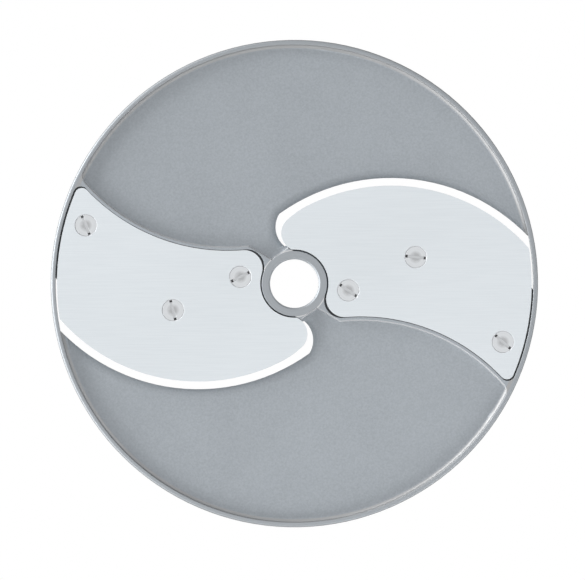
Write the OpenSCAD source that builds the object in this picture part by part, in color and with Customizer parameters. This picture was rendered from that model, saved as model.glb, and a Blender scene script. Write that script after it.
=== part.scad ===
// Slicing disc: a cast and turned aluminium body with two curved throats,
// two crescent blades and six slotted countersunk screws.
// The disc lies flat on its skirt, cutting side up, and turns counter-clockwise seen from above.
// The origin is on the bore's axis at the rest face. The left half is the right half turned by 180 degrees.

/* [Disc] */
// Outside diameter of the disc
disc_d = 190; // [184:1:200]
// Height from the rest face to the top of the rim
disc_h = 14; // [12:0.5:20]
// Width of the rim, which runs down to the rest face as the skirt
rim_w = 1.8; // [1.5:0.1:2.6]
// Rounding of the rim's outer top edge
rim_round = 1; // [0.4:0.1:1.3]
// Chamfer round the bottom of the skirt
skirt_chamfer = 0.5; // [0.2:0.1:1]
// Thickness of the sunk sectors
plate_t = 3.5; // [2.8:0.1:4.5]
// Slice thickness: how far the sectors lie below the cutting edges
slice = 3; // [2.4:0.1:4]
// Fillet where a sector meets the rim
sector_fillet = 1.8; // [0.8:0.1:2.2]
// Fillet under the sectors, at the rim and at the hub
under_fillet = 2; // [0.5:0.1:3]
// Corner radius of a sector where the blade's band runs into the rim
sector_corner_r = 4.5; // [3:0.1:8]
// How far a raised wall leans out over the slice's depth
wall_lean = 0.45; // [0.2:0.05:0.8]

/* [Hub] */
// Diameter of the bore
bore_d = 19; // [16:0.5:20]
// Chamfer at both ends of the bore
bore_chamfer = 0.6; // [0.2:0.1:1]
// Diameter of the hub ring between the blades
hub_ring_d = 25.4; // [24:0.1:27]
// Diameter of the hub below the sectors
hub_boss_d = 30.2; // [28:0.1:30.4]
// Width of the drive slot across the bottom of the hub
drive_slot_w = 6; // [4:0.5:7]
// Height of the drive slot
drive_slot_h = 5; // [3:0.5:6]
// Direction of the ledge that carries a blade's tip
tip_ledge_angle = 37.6; // [34:0.2:41]
// Distance of that ledge's edge from the axis
tip_ledge_r = 12.4; // [12:0.1:12.6]
// Direction of the band's end behind the blade's inner corner
band_end_angle = -30.3; // [-34:0.2:-26]
// Distance of the band's end from the axis
band_end_r = 3.44; // [2.8:0.1:4.2]

/* [Blade] */
// Thickness of the blades
blade_t = 2; // [1.6:0.1:2.4]
// Radius of the cutting edge
cut_r = 71.5; // [70.5:0.1:72.5]
// Centre of the cutting edge, to the right of the axis
cut_x = 37.6; // [36.6:0.1:38.6]
// Centre of the cutting edge, below the axis in plan
cut_y = -33.3; // [-34.2:0.1:-32.4]
// Radius of the edge where it draws in to the tip
tip_sweep_r = 35; // [28:1:42]
// Angle on the cutting circle where that starts
tip_sweep_angle = 117; // [114:0.5:119]
// Angle on that smaller circle where the round tip takes over
tip_sweep_end = 136; // [134:0.5:138]
// Radius of the tip's rounded inner end
tip_r = 7.1; // [6.6:0.1:7.6]
// Direction of the tip's centre from the axis
tip_angle = 84.2; // [82:0.2:86]
// How far the round of the tip dips into the blade's hub edge
tip_dip = 0.6; // [0.5:0.1:0.9]
// Radius of the trailing edge
trail_r = 75.4; // [74:0.1:77]
// Direction of the trailing edge's centre from the axis
trail_angle = -73.58; // [-75:0.02:-72]
// Nearest that the trailing edge's circle comes to the axis
trail_gap = 16.55; // [15.6:0.05:17.4]
// Corner radius beside the hub
inner_corner_r = 7.1; // [5:0.1:9]
// Corner radius beside the rim
outer_corner_r = 2.8; // [2:0.1:5]
// Width of the bevel ground on the underside
bevel_w = 7; // [4:0.5:7.5]
// Thickness left at the cutting edge
edge_t = 0.2; // [0.1:0.05:0.5]

/* [Seat] */
// Gap between a blade and the hub ring
hub_gap = 0.6; // [0.2:0.1:1]
// Gap between a blade's end and the rim
end_gap = 0.7; // [0.3:0.1:1.2]
// Gap along the trailing edge and round the tip
side_gap = 0.2; // [0.1:0.05:0.4]
// Width of the band of body metal behind the trailing edge
band_w = 1; // [0.6:0.1:2]
// How far the cutting edge stands out over the throat
overhang = 8; // [7.8:0.1:12]
// Slope of the seat's front, from upright
seat_front_angle = 20; // [0:1:30]

/* [Throat] */
// Gap in plan between the cutting edge and the sector's lip
throat_gap = 3; // [2.2:0.1:4.5]
// Gap in plan between the tip and the throat's inner end
throat_end_gap = 2.5; // [2:0.1:3]
// How much further out the centre of the throat's inner end lies
throat_end_shift = 2.35; // [2:0.05:2.8]
// Width of the rolled lip
lip_w = 3.3; // [2:0.1:4]
// Radius of the roll
lip_r = 7; // [6:0.1:14]

/* [Screws] */
// Thread diameter
screw_d = 4; // [3:0.5:4]
// Length from the top of the head
screw_l = 8; // [6.5:0.5:8.5]
// Diameter of the head
screw_head_d = 8.2; // [7:0.1:8.2]
// Height of the head's upright edge
screw_head_edge = 0.2; // [0.1:0.05:0.4]
// Width of the screwdriver slot
screw_slot_w = 1.1; // [0.8:0.1:1.4]
// Depth of the screwdriver slot
screw_slot_h = 1.1; // [0.6:0.1:1.4]
// Diameter of the countersink at the blade's top
sink_d = 8.8; // [8.4:0.1:9.2]
// Clearance round the thread in its hole
thread_clear = 0.05; // [0.02:0.01:0.2]
// Distance of the outer and inner screws from the trailing edge
screw_setback = 10.3; // [9:0.1:12]
// Distance of the outer screw from the blade's end
outer_screw_in = 8.1; // [7.8:0.1:10]
// Distance of the inner screw from the blade's hub edge
inner_screw_out = 7.9; // [7.4:0.1:10]
// Distance of the middle screw from the cutting edge
middle_screw_back = 26.8; // [22:0.1:30]
// Distance of the middle screw from the axis
middle_screw_r = 48.4; // [42:0.2:56]
// Diameter of the bosses that hold the threads
boss_d = 11; // [8:0.5:11.5]
// How far bosses and ribs reach below the sectors
boss_h = 3; // [2:0.1:4]
// Width of the ribs between the bosses
rib_w = 4; // [2:0.5:6]

/* [Hidden] */
$fn = 96;
SIDES = ["right", "left"];
SCREWS = ["outer", "middle", "inner"];

// Direction of each screwdriver slot, as the screws were left: outer, middle, inner
slot_turns = [[-42, -6, -35], [-68, -76, 27]];

// Overlap for cuts that run past a face
past = 0.5;
// Direction in which the rim's and the sectors' sections start, clear of both throats
turn_start = -atan(3 / 4);
// How far a rounding runs into the curves it joins
tuck = 0.002;
// How far a corner's wedge reaches, in radii
wedge_reach = 9;

disc_r = disc_d / 2;
rim_in_r = disc_r - rim_w;
into_rim_r = rim_in_r + rim_w / 2;
land_out_r = rim_in_r + rim_w / 3;
floor_z = disc_h - slice;
plate_z = floor_z - plate_t;
seat_z = disc_h - blade_t;
boss_z = plate_z - boss_h;
lip_low_z = floor_z - plate_t / 2;
lip_end_r = rim_in_r - sector_fillet - past;
land_low_z = lip_low_z - plate_t / 4;
hub_r = hub_ring_d / 2;
hub_boss_r = hub_boss_d / 2;

axis = [0, 0];
cut_c = [cut_x, cut_y];
trail_c = polar(trail_r + trail_gap, trail_angle);
blade_hub_r = hub_r + hub_gap;
blade_end_r = rim_in_r - end_gap;
tip_c = polar(blade_hub_r + tip_r - tip_dip, tip_angle);
sweep_c = cut_c + polar(cut_r - tip_sweep_r, tip_sweep_angle);

slot_r = cut_r + throat_gap;
seat_front_r = cut_r - overhang;
seat_foot_r = seat_front_r - disc_h * tan(seat_front_angle);
throat_end_r = tip_r + throat_end_gap;
throat_end_c = tip_c + polar(throat_end_shift, tip_angle);

pocket_r = trail_r - side_gap;
band_r = trail_r - side_gap - band_w;
sector_corner_c = meet(axis, rim_in_r - sector_corner_r, trail_c, band_r - sector_corner_r, 1);

sink_r = sink_d / 2;
head_r = screw_head_d / 2;
// The 45 degree cone of the head touches the countersink from this depth down
head_seat_z = disc_h - (sink_r - head_r);
head_top_z = head_seat_z + screw_head_edge;
screw_r = screw_d / 2;
thread_hole_r = screw_r + thread_clear;
screw_path_r = trail_r + screw_setback;
screw_places = [
    meet(trail_c, screw_path_r, axis, blade_end_r - outer_screw_in, -1),
    meet(cut_c, cut_r - middle_screw_back, axis, middle_screw_r, -1),
    meet(trail_c, screw_path_r, axis, blade_hub_r + inner_screw_out, -1)
];

function polar(r, angle) = r * [cos(angle), sin(angle)];
function bearing(from, to) = atan2(to.y - from.y, to.x - from.x);

// Unit direction from one point to another
function toward(from, to) = (to - from) / norm(to - from);

// How far a leaning wall stands out at a height, counted from the top
function lean(z) = wall_lean * (disc_h - z) / slice;

// Where two circles cross, on the left (1) or the right (-1) of the line from a to b
function meet(a, a_r, b, b_r, side) =
    let (
        gap = norm(b - a),
        along = (a_r * a_r - b_r * b_r + gap * gap) / (2 * gap),
        across = sqrt(a_r * a_r - along * along),
        dir = (b - a) / gap
    )
    a + along * dir + side * across * [-dir.y, dir.x];

// The part of a corner that lies outside a rounding circle at c, between its tangents to circles at a and b
module corner_scrap(c, r, a_dir, b_dir) {
    difference() {
        polygon([c, c + wedge_reach * r * a_dir, c + wedge_reach * r * b_dir]);
        translate(c) circle(r = r + tuck);
    }
}

// The square left over between a fillet's arc and its corner, with the corner's solid behind it
module fillet_scrap(corner, dir, r) {
    translate(corner) difference() {
        polygon([
            -dir * past / 4, [dir.x * r, -dir.y * past / 4],
            dir * r, [-dir.x * past / 4, dir.y * r]
        ]);
        translate(dir * r) circle(r = r);
    }
}

// A blade's outline: outside the hub and trailing circles, inside the end and cutting circles.
// A spread carries it on into the hub and the rim.
module crescent(hub_side_r, back_r, end_r, front_r, nose_r, hub_corner_r, rim_corner_r, spread) {
    hub_corner_c = meet(axis, hub_side_r + hub_corner_r, trail_c, back_r + hub_corner_r, 1);
    rim_corner_c = meet(axis, end_r - rim_corner_r, trail_c, back_r + rim_corner_r, 1);
    difference() {
        intersection() {
            circle(r = end_r + spread);
            translate(cut_c) circle(r = front_r);
        }
        circle(r = hub_side_r - spread);
        translate(trail_c) circle(r = back_r);
        corner_scrap(hub_corner_c, hub_corner_r, -toward(axis, hub_corner_c), -toward(trail_c, hub_corner_c));
        corner_scrap(rim_corner_c, rim_corner_r, toward(axis, rim_corner_c), -toward(trail_c, rim_corner_c));
        nose_scrap(nose_r);
    }
}

// What the tip's round end leaves over, from the cutting edge round to the hub
module nose_scrap(r) {
    hub_side = tip_angle + 180;
    turns = [tip_sweep_end, (tip_sweep_end + hub_side) / 2, hub_side];
    difference() {
        polygon(concat([tip_c], [for (turn = turns) tip_c + polar(disc_d, turn)]));
        translate(tip_c) circle(r = r);
    }
}

// What the cutting edge leaves over where it draws in to the tip
module sweep_scrap() {
    corner_scrap(sweep_c, tip_sweep_r, polar(1, tip_sweep_angle), polar(1, tip_sweep_end));
}

module blade_plan() {
    difference() {
        crescent(blade_hub_r, trail_r, blade_end_r, cut_r, tip_r, inner_corner_r, outer_corner_r, 0);
        sweep_scrap();
    }
}

// The recess that a blade lies in, open towards the throat
module pocket_plan() {
    crescent(hub_r, pocket_r, rim_in_r, slot_r, tip_r + side_gap,
        inner_corner_r - side_gap, outer_corner_r + side_gap, rim_w / 2);
}

// The opening that the slices fall through: from the lip to the seat's front
module throat_plan() {
    difference() {
        intersection() {
            circle(r = into_rim_r);
            translate(cut_c) circle(r = slot_r);
            union() {
                translate(throat_end_c) circle(r = throat_end_r);
                throat_side_plan();
            }
        }
        translate(cut_c) circle(r = seat_foot_r);
        circle(r = hub_boss_r - past);
    }
}

// Everything on the rim's side of the throat's round inner end
module throat_side_plan() {
    translate([throat_end_c.x - throat_end_r / 2, -disc_r / 4]) square(disc_d);
}

// The raised land under and round one blade, as wide as its leaning walls get
module land_plan() {
    spread = lean(land_low_z - past);
    ledge_start = polar(tip_ledge_r + spread, tip_ledge_angle + 90);
    band_end_start = polar(band_end_r + spread, band_end_angle - 90);
    intersection() {
        circle(r = land_out_r);
        translate(cut_c) circle(r = seat_front_r + past);
        difference() {
            polygon([
                axis, ledge_start, ledge_start + polar(disc_d, tip_ledge_angle),
                [disc_d, 0], band_end_start + polar(disc_d, band_end_angle), band_end_start
            ]);
            translate(trail_c) circle(r = band_r - spread);
        }
    }
}

// Metal that fills the corner where the band runs into the rim
module sector_corner_plan(r) {
    intersection() {
        circle(r = land_out_r);
        translate(trail_c) circle(r = band_r + past);
        corner_scrap(sector_corner_c, r, toward(axis, sector_corner_c), toward(trail_c, sector_corner_c));
    }
}

// A cutter that leans a straight raised wall back from the bottom of the sectors to the top
module lean_cut(normal, reach) {
    low = land_low_z - past;
    high = disc_h + past;
    rotate(normal) translate([reach, disc_r, 0]) rotate([90, 0, 0]) linear_extrude(disc_d)
        polygon([[lean(low), low], [disc_r, low], [disc_r, high], [lean(high), high]]);
}

module land() {
    low = land_low_z - past;
    high = disc_h + past;
    difference() {
        translate([0, 0, land_low_z]) linear_extrude(disc_h - land_low_z) land_plan();
        translate([trail_c.x, trail_c.y, low])
            cylinder(h = high - low, r1 = band_r - lean(low), r2 = band_r - lean(high));
        lean_cut(tip_ledge_angle + 90, tip_ledge_r);
        lean_cut(band_end_angle - 90, band_end_r);
    }
    translate([0, 0, land_low_z]) linear_extrude(disc_h - land_low_z) sector_corner_plan(sector_corner_r);
}

// Section of the sunk sectors, with their fillets at the rim and the hub
module sector_section() {
    translate([hub_r, plate_z]) square([rim_in_r - hub_r + rim_w / 4, plate_t]);
    fillet_scrap([rim_in_r, floor_z], [-1, 1], sector_fillet);
    fillet_scrap([rim_in_r, plate_z], [-1, -1], under_fillet);
    fillet_scrap([hub_boss_r, plate_z], [1, -1], under_fillet);
}

// Section of the rim with the skirt below it
module rim_section() {
    difference() {
        translate([rim_in_r, 0]) square([rim_w, disc_h]);
        fillet_scrap([disc_r, disc_h], [-1, -1], rim_round);
        translate([disc_r, 0]) rotate(45) square(skirt_chamfer * sqrt(2), center = true);
    }
}

// Section of the hub, with its ring leaning like the other raised walls
module hub_section() {
    square([hub_boss_r, floor_z]);
    polygon([[0, 0], [hub_r, 0], [hub_r + wall_lean, floor_z], [hub_r, disc_h], [0, disc_h]]);
}

// Everything inside a round edge and above the lip rolled over it
module rolled_edge(centre, r) {
    translate(centre) rotate_extrude($fn = 180) difference() {
        translate([0, lip_low_z]) square([r + lip_w, disc_h - lip_low_z]);
        translate([r + lip_w, floor_z - lip_r + tuck]) circle(r = lip_r);
    }
}

// Cutter for the rolled lip round one throat, clear of the fillet at the rim
module lip_cut() {
    difference() {
        intersection() {
            rolled_edge(cut_c, slot_r);
            union() {
                rolled_edge(throat_end_c, throat_end_r);
                linear_extrude(disc_d) throat_side_plan();
            }
            cylinder(h = disc_d, r = lip_end_r);
        }
        translate(cut_c) cylinder(h = disc_d, r = seat_foot_r);
    }
}

// One throat: upright on the lip's side, sloped at the seat's front
module throat() {
    difference() {
        translate([0, 0, -past]) linear_extrude(disc_h + 2 * past) throat_plan();
        translate([cut_x, cut_y, seat_z]) cylinder(h = disc_h, r = seat_front_r);
        translate([cut_x, cut_y, seat_z - disc_h]) cylinder(h = disc_h, r1 = seat_foot_r, r2 = seat_front_r);
    }
}

// Ribs and bosses under one blade's seat
module seat_ribs() {
    translate([0, 0, boss_z]) {
        for (place = screw_places) translate(place) cylinder(h = plate_z - boss_z + past, d = boss_d);
        linear_extrude(plate_z - boss_z + past) intersection() {
            difference() {
                circle(r = rim_in_r + past);
                circle(r = hub_boss_r - past);
            }
            translate([0, -disc_r]) square([disc_r, disc_d]);
            difference() {
                translate(trail_c) circle(r = screw_path_r + rib_w / 2);
                translate(trail_c) circle(r = screw_path_r - rib_w / 2);
            }
        }
        translate(screw_places[1]) rotate(bearing(screw_places[1], trail_c)) translate([0, -rib_w / 2])
            cube([norm(screw_places[1] - trail_c) - screw_path_r, rib_w, plate_z - boss_z + past]);
    }
}

module thread_holes() {
    for (place = screw_places) translate(place) {
        cylinder(h = disc_h, r = thread_hole_r);
        translate([0, 0, disc_h - sink_r + thread_hole_r])
            cylinder(h = sink_r - thread_hole_r, r1 = thread_hole_r, r2 = sink_r);
    }
}

module half_turns() {
    for (turn = [0, 180]) rotate(turn) children();
}

// Sunk sectors and raised lands, before the rim and the hub close the throats and pockets
module sectors_and_lands() {
    difference() {
        union() {
            difference() {
                rotate(turn_start) rotate_extrude($fn = 360) sector_section();
                half_turns() lip_cut();
            }
            half_turns() {
                land();
                seat_ribs();
            }
        }
        half_turns() {
            throat();
            translate([0, 0, seat_z]) linear_extrude(blade_t + past) pocket_plan();
        }
    }
}

module disc_body() {
    color("silver") difference() {
        union() {
            sectors_and_lands();
            rotate(turn_start) rotate_extrude($fn = 360) rim_section();
            rotate_extrude($fn = 180) hub_section();
        }
        half_turns() thread_holes();
        bore();
        translate([-drive_slot_w / 2, -hub_boss_r - under_fillet, -past])
            cube([drive_slot_w, 2 * (hub_boss_r + under_fillet), drive_slot_h + past]);
    }
}

module bore() {
    bore_r = bore_d / 2;
    translate([0, 0, -past]) cylinder(h = disc_h + 2 * past, r = bore_r);
    for (end = [0, 1]) translate([0, 0, end * disc_h]) mirror([0, 0, end]) translate([0, 0, -past])
        cylinder(h = bore_chamfer + past, r1 = bore_r + bore_chamfer + past, r2 = bore_r);
}

// The right blade: flat on top, with its bevel ground from below
module blade() {
    color("gainsboro") difference() {
        translate([0, 0, seat_z]) linear_extrude(blade_t) blade_plan();
        difference() {
            translate([cut_x, cut_y, seat_z - past]) cylinder(h = blade_t - edge_t + past, r = cut_r + past);
            translate([cut_x, cut_y, seat_z - 2 * past])
                cylinder(h = 2 * past, r = cut_r - bevel_w);
            translate([cut_x, cut_y, seat_z])
                cylinder(h = blade_t - edge_t, r1 = cut_r - bevel_w, r2 = cut_r);
        }
        for (place = screw_places) translate([place.x, place.y, seat_z]) {
            translate([0, 0, -past]) cylinder(h = blade_t + 2 * past, r = sink_r - blade_t);
            cylinder(h = blade_t, r1 = sink_r - blade_t, r2 = sink_r);
        }
    }
}

module screw(slot_turn) {
    tip_z = head_top_z - screw_l;
    tip_chamfer = screw_r / 4;
    color("lightgray") difference() {
        rotate_extrude() polygon([
            [0, tip_z], [screw_r - tip_chamfer, tip_z], [screw_r, tip_z + tip_chamfer],
            [screw_r, head_seat_z - head_r + screw_r], [head_r, head_seat_z],
            [head_r, head_top_z], [0, head_top_z]
        ]);
        translate([0, 0, head_top_z]) rotate(slot_turn)
            cube([screw_head_d + past, screw_slot_w, 2 * screw_slot_h], center = true);
    }
}

disc_body();
blade();  // right_blade
rotate(180) blade();  // left_blade
for (side = [0, 1], place = [0 : 2]) {
    name = str(SIDES[side], "_", SCREWS[place], "_screw");
    rotate(180 * side) translate(screw_places[place]) screw(slot_turns[side][place] - 180 * side);
}
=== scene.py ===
"""Looks of the slicing disc: studio, camera and materials round the fixed CAD frame."""

import math

import bpy
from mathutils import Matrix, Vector


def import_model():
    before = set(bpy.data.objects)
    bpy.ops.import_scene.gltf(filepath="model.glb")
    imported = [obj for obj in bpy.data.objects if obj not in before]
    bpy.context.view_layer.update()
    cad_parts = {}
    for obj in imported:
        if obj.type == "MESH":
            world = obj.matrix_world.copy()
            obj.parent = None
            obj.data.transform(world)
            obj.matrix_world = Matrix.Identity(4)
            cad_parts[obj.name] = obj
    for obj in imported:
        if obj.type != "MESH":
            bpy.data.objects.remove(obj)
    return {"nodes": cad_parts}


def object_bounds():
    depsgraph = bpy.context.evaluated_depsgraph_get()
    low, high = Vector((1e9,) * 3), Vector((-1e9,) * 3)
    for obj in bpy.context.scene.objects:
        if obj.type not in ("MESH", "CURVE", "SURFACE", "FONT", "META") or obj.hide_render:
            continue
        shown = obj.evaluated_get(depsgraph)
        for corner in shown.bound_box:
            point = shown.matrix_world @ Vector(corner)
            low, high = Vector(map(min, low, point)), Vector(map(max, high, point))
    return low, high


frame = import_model()
cad_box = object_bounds()

MM = 0.001

# The photograph's frame: its size, its scale at the rim's top, and where the bore's axis falls in it
IMAGE_W, IMAGE_H = 585, 580
PX_PER_MM = 2.566
AXIS_PX = (294.35, 283.6)

# The disc's sizes where its finish changes, in millimetres from the bore's axis and the rest face
DISC_R = 95.0
DISC_H = 14.0
RIM_INNER_R = 93.2
RIM_ROUND = 1.0
HUB_RING_R = 12.7
SEAT_Z = 12.0
HEAD_SEAT_Z = 13.7

# Widths of the finishes and of the painted shade, and half the soft border between two of them, in
# millimetres
SOFT = 0.05
WALL_FOOT_W = 1.6
WALL_FADE = 0.5
# The painted shade line on the steep outer part of the rim's rounding: its width and its fade
OUTLINE_SHADE_W = 0.33
OUTLINE_SHADE_FADE = 0.2
RING_EDGE_W = 0.5
RING_EDGE_DEPTH = 0.15
CONE_FADE = 0.15

# How far up the leaning walls and the countersinks' cones face: the height of their unit normal
LEANING_WALL = (0.13, 0.17)
LEANING_FADE = 0.03
COUNTERSINK = (0.6, 0.8)
COUNTERSINK_FADE = 0.1

# The hub ring's sides that the ledges lie on: their middle in degrees, and the cosines where they fade
LEDGE_SIDE_ANGLE = 130
LEDGE_SIDE_FADE = (0.86, 0.9)

# The noise values between which a blend runs from its first end to its second
MIDDLE = (0.3, 0.7)
WIDE = (0.25, 0.75)

WHITE = (1, 1, 1, 1)
TABLE_WHITE = (0.85, 0.85, 0.85, 1)

# The cast body's colours, in pairs where a noise blends them
CAST_CLOUDS = ((0.367, 0.397, 0.427, 1), (0.397, 0.429, 0.46, 1))
CAST_GRAINS = ((0.31, 0.337, 0.366, 1), (0.455, 0.488, 0.522, 1))
GRAIN_SHARE = 0.45
TURNED = ((0.35, 0.374, 0.397, 1), (0.386, 0.411, 0.435, 1))
RIM_WALL = (0.39, 0.395, 0.4, 1)
# Painted shade: a dark outline on the steep outer part of the rim's rounding
PAINTED_OUTLINE_SHADE = (0.24, 0.25, 0.26, 1)
# A lighter band at the hub ring's edge, and painted highlights on the leaning walls, with how much of them is
# mixed in
BRIGHT_EDGE_AND_PAINTED_HIGHLIGHT = (0.765, 0.755, 0.745, 1)
BRIGHTENING_SHARE = 0.6
# Painted shade on the floors of the pockets under the blades
POCKET_PAINTED_SHADE = (0.13, 0.135, 0.14, 1)

# The blades' colours, from their faces to the painted shade deep in the countersinks, and how fine their
# strokes are
BLADE_SATIN = ((0.708, 0.74, 0.763, 1), (0.723, 0.755, 0.779, 1))
# Painted shade deep in the countersinks, under the heads
CONE_PAINTED_SHADE = (0.14, 0.14, 0.145, 1)
CONE_LIP = (0.72, 0.735, 0.75, 1)
STROKES_PER_M = (60.0, 2200.0, 60.0)

# The screws' colours, on the top of the head and below it
HEAD_FACE = ((0.64, 0.66, 0.678, 1), (0.71, 0.73, 0.75, 1))
# Painted reflection: a dark mottled patch in the middle of each head
HEAD_PAINTED_REFLECTION = (0.45, 0.46, 0.47, 1)
SLOT_AND_SHANK = (0.64, 0.655, 0.67, 1)

# Softened edges: how many rays feel for an edge
BEVEL_SAMPLES = 8

# The camera's height above the rim and how far it sees, in metres
CAMERA_DISTANCE = 6.0
CAMERA_REACH = 24.0
SENSOR_MM = 36.0

# The room: its light's strength, and the floor's depth below the rest face and size, in metres
FILL_LIGHT = 0.02
FLOOR_DROP = 0.25
FLOOR_SIZE = 40.0

# The key light: watts of each low panel on the photograph's left, by its direction in degrees
KEY_PANELS = {120: 3.3, 150: 23, 180: 23.4, 210: 14.4}


def camera():
    """A long lens straight above the disc, so that no side wall of the rim shows."""
    look_at = Vector(
        (
            (IMAGE_W / 2 - AXIS_PX[0]) / PX_PER_MM * MM,
            (AXIS_PX[1] - IMAGE_H / 2) / PX_PER_MM * MM,
            cad_box[1].z,
        )
    )
    data = bpy.data.cameras.new("camera")
    data.sensor_width = SENSOR_MM
    data.lens = SENSOR_MM * CAMERA_DISTANCE / (IMAGE_W / PX_PER_MM * MM)
    data.clip_end = CAMERA_REACH
    cam = bpy.data.objects.new("camera", data)
    cam.location = look_at + Vector((0, 0, CAMERA_DISTANCE))
    bpy.context.scene.collection.objects.link(cam)
    bpy.context.scene.camera = cam


class Nodes:
    """A short way to add nodes to a tree and join them."""

    def __init__(self, tree):
        self.tree = tree
        tree.nodes.clear()

    def add(self, kind, inputs=(), **settings):
        """A new node, with its inputs set to values or joined to other nodes' sockets."""
        node = self.tree.nodes.new(kind)
        for key, value in settings.items():
            setattr(node, key, value)
        for key, value in dict(inputs).items():
            if isinstance(value, bpy.types.NodeSocket):
                self.tree.links.new(value, node.inputs[key])
            else:
                node.inputs[key].default_value = value
        return node

    def math(self, operation, a, b=0.0):
        """One operation on one or two values."""
        return self.add("ShaderNodeMath", {0: a, 1: b}, operation=operation).outputs[0]

    def product(self, a, b):
        return self.math("MULTIPLY", a, b)

    def larger(self, a, b):
        return self.math("MAXIMUM", a, b)

    def parts(self, vector):
        """A vector's three parts."""
        return self.add("ShaderNodeSeparateXYZ", {0: vector}).outputs

    def radius(self, x, y):
        """Distance from the vertical axis."""
        squares = [self.product(part, part) for part in (x, y)]
        return self.math("SQRT", self.math("ADD", *squares))

    def ramp(self, value, low, high, to_low=0.0, to_high=1.0):
        """A value's range low to high, laid smoothly on to_low to to_high."""
        return self.add(
            "ShaderNodeMapRange",
            {"Value": value, 1: low, 2: high, 3: to_low, 4: to_high},
            interpolation_type="SMOOTHSTEP",
        ).outputs["Result"]

    def band(self, value, low, high, fade):
        """1 where a value lies between low and high, and 0 once it is a fade's width beyond them."""
        rising = self.ramp(value, low - fade, low)
        return self.product(rising, self.ramp(value, high + fade, high))

    def noise(self, vector, scale, detail=2.0, roughness=0.5):
        """Soft random patches, scale of them to a unit of the vector."""
        return self.add(
            "ShaderNodeTexNoise",
            {"Vector": vector, "Scale": scale, "Detail": detail, "Roughness": roughness},
        ).outputs["Fac"]

    def mix(self, amount, a, b):
        """A blend of two colours."""
        return self.add("ShaderNodeMix", {0: amount, 6: a, 7: b}, data_type="RGBA").outputs[2]

    def normal_z(self):
        """How far up the surface faces: 1 for a floor, 0 for an upright wall."""
        return self.parts(self.add("ShaderNodeNewGeometry").outputs["True Normal"])[2]


def white_where_seen(nodes, lit, white):
    """White for the camera's rays and for those seen in metal and glass, the lit shader for all others."""
    path = nodes.add("ShaderNodeLightPath")
    mirrored = nodes.larger(path.outputs["Is Glossy Ray"], path.outputs["Is Transmission Ray"])
    seen = nodes.larger(path.outputs["Is Camera Ray"], mirrored)
    mix = nodes.add("ShaderNodeMixShader", {0: seen, 1: lit.outputs[0], 2: white.outputs[0]})
    return mix.outputs[0]


def world():
    """White where it is seen, and a soft grey fill where it lights."""
    scene_world = bpy.data.worlds.new("studio")
    bpy.context.scene.world = scene_world
    scene_world.use_nodes = True
    nodes = Nodes(scene_world.node_tree)
    fill = nodes.add("ShaderNodeBackground", {"Color": WHITE, "Strength": FILL_LIGHT})
    white = nodes.add("ShaderNodeBackground", {"Color": WHITE, "Strength": 1.0})
    nodes.add("ShaderNodeOutputWorld", {"Surface": white_where_seen(nodes, fill, white)})


def new_material(name):
    """A material with an empty node tree."""
    material = bpy.data.materials.new(name)
    material.use_nodes = True
    return material, Nodes(material.node_tree)


def floor():
    """A white table well below the disc, as under a glass shelf, that the throats look through to."""
    below = (0, 0, cad_box[0].z - FLOOR_DROP)
    bpy.ops.mesh.primitive_plane_add(size=FLOOR_SIZE, location=below)
    plane = bpy.context.object
    plane.name = "floor"
    material, nodes = new_material("white_table")
    matt = nodes.add("ShaderNodeBsdfDiffuse", {"Color": TABLE_WHITE})
    white = nodes.add("ShaderNodeEmission", {"Color": WHITE, "Strength": 1.0})
    nodes.add("ShaderNodeOutputMaterial", {"Surface": white_where_seen(nodes, matt, white)})
    plane.data.materials.append(material)


def area_lamp(name, azimuth, elevation, distance, size, watts, mirrored=False):
    """A square soft lamp that faces the disc, from a direction in plan (0 is +X) and a height in degrees.
    Unless it is mirrored, it doesn't show in the metal, as the white room does that already."""
    turn, rise = math.radians(azimuth), math.radians(elevation)
    level = math.cos(rise)
    out = Vector((math.cos(turn) * level, math.sin(turn) * level, math.sin(rise)))
    data = bpy.data.lights.new(name, "AREA")
    data.shape = "SQUARE"
    data.size = size
    data.energy = watts
    lamp = bpy.data.objects.new(name, data)
    lamp.visible_glossy = mirrored
    lamp.location = out * distance
    lamp.rotation_mode = "QUATERNION"
    lamp.rotation_quaternion = out.to_track_quat("Z", "Y")
    bpy.context.scene.collection.objects.link(lamp)


def key_light():
    """A row of low panels on the left, which lights the rim's rounding and the far walls of the sectors."""
    for azimuth, watts in KEY_PANELS.items():
        area_lamp(
            "low_left_%d" % azimuth,
            azimuth=azimuth,
            elevation=12,
            distance=1.8,
            size=0.9,
            watts=watts,
            mirrored=True,
        )


def fill_light():
    """Weak panels on the other sides, for the walls that the key light leaves dark."""
    area_lamp("lower_right", azimuth=305, elevation=18, distance=0.7, size=0.45, watts=5.4)
    area_lamp("below", azimuth=270, elevation=18, distance=1.2, size=0.6, watts=1.5)
    area_lamp(
        "upper_right", azimuth=32, elevation=24, distance=1.2, size=0.25, watts=1.5, mirrored=True
    )


def finish_material(nodes, colour, roughness, metallic, height, bump_mm, edge_mm):
    """The metal shader that every metal here ends in, with its sharp edges softened."""
    edges = nodes.add("ShaderNodeBevel", {"Radius": edge_mm * MM}, samples=BEVEL_SAMPLES)
    bump = nodes.add(
        "ShaderNodeBump",
        {"Strength": 1.0, "Distance": bump_mm * MM, "Height": height, "Normal": edges.outputs[0]},
    )
    shader = nodes.add(
        "ShaderNodeBsdfPrincipled",
        {
            "Base Color": colour,
            "Roughness": roughness,
            "Metallic": metallic,
            "Normal": bump.outputs["Normal"],
        },
    )
    nodes.add("ShaderNodeOutputMaterial", {"Surface": shader.outputs[0]})


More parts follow.
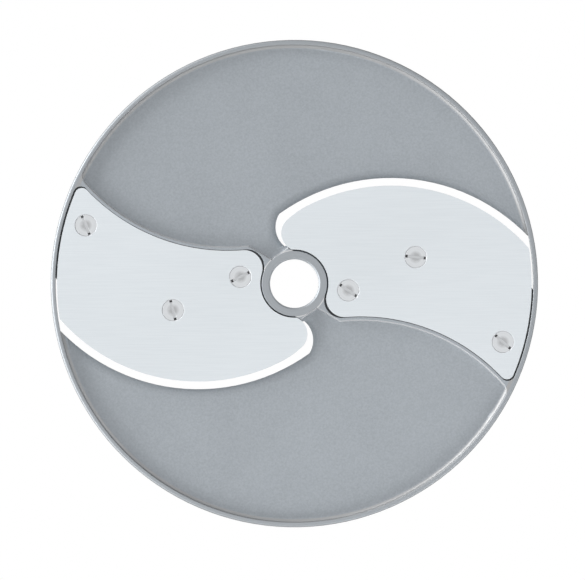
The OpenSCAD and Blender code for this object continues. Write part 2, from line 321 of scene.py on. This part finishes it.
def ledge_side(nodes, place):
    """1 on the two sides of the hub ring that the ledges lie on, 0 on those that the blades lie on."""
    angle = math.radians(LEDGE_SIDE_ANGLE)
    middle = (math.cos(angle), math.sin(angle), 0)
    flat = nodes.add("ShaderNodeVectorMath", {0: place, 1: (1, 1, 0)}, operation="MULTIPLY")
    unit = nodes.add("ShaderNodeVectorMath", {0: flat.outputs[0]}, operation="NORMALIZE")
    along = nodes.add(
        "ShaderNodeVectorMath", {0: unit.outputs[0], 1: middle}, operation="DOT_PRODUCT"
    )
    return nodes.ramp(nodes.math("ABSOLUTE", along.outputs["Value"]), *LEDGE_SIDE_FADE)


def turned_rim(nodes, blasted, radius, height):
    """Rings of the lathe on the rim and the hub ring, a plainer wall inside the rim, and painted shade in a
    thin line on the steep outer part of the rim's rounding.
    """
    profile = nodes.add("ShaderNodeCombineXYZ", {0: radius, 2: height}).outputs[0]
    rings = nodes.noise(profile, scale=3.0)
    turned = nodes.mix(nodes.ramp(rings, *MIDDLE), *TURNED)
    on_rim = nodes.ramp(radius, RIM_INNER_R - SOFT, RIM_INNER_R + SOFT)
    on_ring = nodes.ramp(radius, HUB_RING_R + SOFT, HUB_RING_R - SOFT)
    colour = nodes.mix(nodes.larger(on_rim, on_ring), blasted, turned)

    wall_foot_r = RIM_INNER_R - WALL_FOOT_W
    inside_rim = nodes.ramp(radius, wall_foot_r, wall_foot_r + WALL_FADE)
    colour = nodes.mix(nodes.math("SUBTRACT", inside_rim, on_rim), colour, RIM_WALL)

    # Painted shade along the steep outer part of the rim's rounding, which dims its highlight there
    edge_r = DISC_R - OUTLINE_SHADE_W
    edge_z = DISC_H - RIM_ROUND
    outermost = nodes.ramp(radius, edge_r - SOFT, edge_r + SOFT)
    on_rounding = nodes.ramp(height, edge_z - OUTLINE_SHADE_FADE, edge_z)
    return nodes.mix(nodes.product(outermost, on_rounding), colour, PAINTED_OUTLINE_SHADE)


def bright_edge_and_painted_highlights(nodes, place, radius, height):
    """A lighter band at the edge where the hub ring's turning stops, and painted highlights on the walls that
    lean a little, but none on upright ones.
    """
    top_z = DISC_H - RING_EDGE_DEPTH
    edge_end_r = HUB_RING_R + RING_EDGE_W
    at_top = nodes.ramp(height, top_z - SOFT, top_z + SOFT)
    outside = nodes.ramp(radius, HUB_RING_R, HUB_RING_R + SOFT)
    inside = nodes.ramp(radius, edge_end_r, edge_end_r - 2 * SOFT)
    edge = nodes.product(at_top, nodes.product(outside, inside))

    # Painted highlights on the walls that lean a little, on the ledges' sides of the hub ring and all round
    # beyond it
    leaning = nodes.band(nodes.normal_z(), *LEANING_WALL, LEANING_FADE)
    beyond_ring = nodes.ramp(radius, edge_end_r - SOFT, edge_end_r)
    wall = nodes.product(leaning, nodes.larger(beyond_ring, ledge_side(nodes, place)))
    return nodes.product(nodes.larger(edge, wall), BRIGHTENING_SHARE)


def cast_aluminium():
    """Bead-blasted cast aluminium, with the rim and the hub ring turned, and painted highlights on the
    leaning walls.
    """
    material, nodes = new_material("cast_aluminium")
    place = nodes.add("ShaderNodeTexCoord").outputs["Object"]
    x, y, z = nodes.parts(place)
    radius = nodes.math("DIVIDE", nodes.radius(x, y), MM)
    height = nodes.math("DIVIDE", z, MM)

    grain = nodes.noise(place, scale=1500.0, detail=3.0, roughness=0.6)
    clouds = nodes.noise(place, scale=55.0, detail=3.0, roughness=0.55)
    clouded = nodes.mix(nodes.ramp(clouds, *MIDDLE), *CAST_CLOUDS)
    speckled = nodes.mix(nodes.ramp(grain, *WIDE), *CAST_GRAINS)
    colour = nodes.mix(GRAIN_SHARE, clouded, speckled)
    colour = turned_rim(nodes, colour, radius, height)
    # The lighter ring edge and the painted highlights on the leaning walls
    colour = nodes.mix(bright_edge_and_painted_highlights(nodes, place, radius, height), colour, BRIGHT_EDGE_AND_PAINTED_HIGHLIGHT)

    # The floors of the pockets, painted dark as shade, which show only as dark lines round the blades
    on_seat = nodes.band(height, SEAT_Z - SOFT, SEAT_Z + SOFT, SOFT)
    colour = nodes.mix(on_seat, colour, POCKET_PAINTED_SHADE)

    roughness = nodes.ramp(clouds, *WIDE, to_low=0.5, to_high=0.6)
    finish_material(nodes, colour, roughness, metallic=0.6, height=grain, bump_mm=0.02, edge_mm=0.4)
    return material


def blade_steel():
    """Stainless strip, ground and tumbled to an even satin."""
    material, nodes = new_material("blade_steel")
    place = nodes.add("ShaderNodeTexCoord").outputs["Object"]
    along = nodes.add("ShaderNodeMapping", {"Vector": place, "Scale": STROKES_PER_M})
    strokes = nodes.noise(along.outputs[0], scale=1.0)
    sheen = nodes.noise(place, scale=18.0, detail=1.0)
    satin = nodes.mix(nodes.ramp(sheen, *MIDDLE), *BLADE_SATIN)

    # The cut cones of the countersinks, with painted shade that is deepest below the heads
    on_cone = nodes.band(nodes.normal_z(), *COUNTERSINK, COUNTERSINK_FADE)
    height = nodes.math("DIVIDE", nodes.parts(place)[2], MM)
    cut = nodes.mix(nodes.ramp(height, HEAD_SEAT_Z - CONE_FADE, HEAD_SEAT_Z), CONE_PAINTED_SHADE, CONE_LIP)
    colour = nodes.mix(on_cone, satin, cut)

    roughness = nodes.ramp(strokes, *MIDDLE, to_low=0.78, to_high=0.84)
    finish_material(
        nodes, colour, roughness, metallic=0.75, height=strokes, bump_mm=0.001, edge_mm=0.05
    )
    return material


def screw_steel():
    """Turned stainless screws: rings of the lathe, and a painted dark reflection in the middle of the head.
    """
    material, nodes = new_material("screw_steel")
    boxed = nodes.add("ShaderNodeTexCoord").outputs["Generated"]
    to_middle = (-0.5, -0.5, 0.0)
    centred = nodes.add("ShaderNodeMapping", {"Vector": boxed, "Location": to_middle})
    x, y, z = nodes.parts(centred.outputs[0])
    across = nodes.radius(x, y)
    rings = nodes.noise(nodes.add("ShaderNodeCombineXYZ", {0: across}).outputs[0], scale=40.0)
    mottle = nodes.noise(centred.outputs[0], scale=3.0)

    # Shares of the screw's box: the painted reflection fades out from its middle, and the face is its top
    patch_end, patch_full = 0.34, 0.12
    face_low, face_high = 0.97, 0.99
    patchy = (0.2, 0.5)
    dark_reflection = nodes.product(
        nodes.ramp(across, patch_end, patch_full), nodes.ramp(mottle, *patchy)
    )
    face = nodes.mix(dark_reflection, nodes.mix(nodes.ramp(rings, *MIDDLE), *HEAD_FACE), HEAD_PAINTED_REFLECTION)
    colour = nodes.mix(nodes.ramp(z, face_low, face_high), SLOT_AND_SHANK, face)

    roughness = nodes.ramp(mottle, *MIDDLE, to_low=0.28, to_high=0.36)
    finish_material(
        nodes, colour, roughness, metallic=0.85, height=rings, bump_mm=0.004, edge_mm=0.1
    )
    return material


def dress_cad():
    """Every CAD node gets the material of the kind that its name ends in."""
    materials = {"body": cast_aluminium(), "blade": blade_steel(), "screw": screw_steel()}
    for name, node in frame["nodes"].items():
        kind = name.split("_")[-1]
        node.data.materials.clear()
        node.data.materials.append(materials[kind])


bpy.context.scene.view_settings.view_transform = "Standard"
camera()
world()
floor()
dress_cad()
key_light()
fill_light()
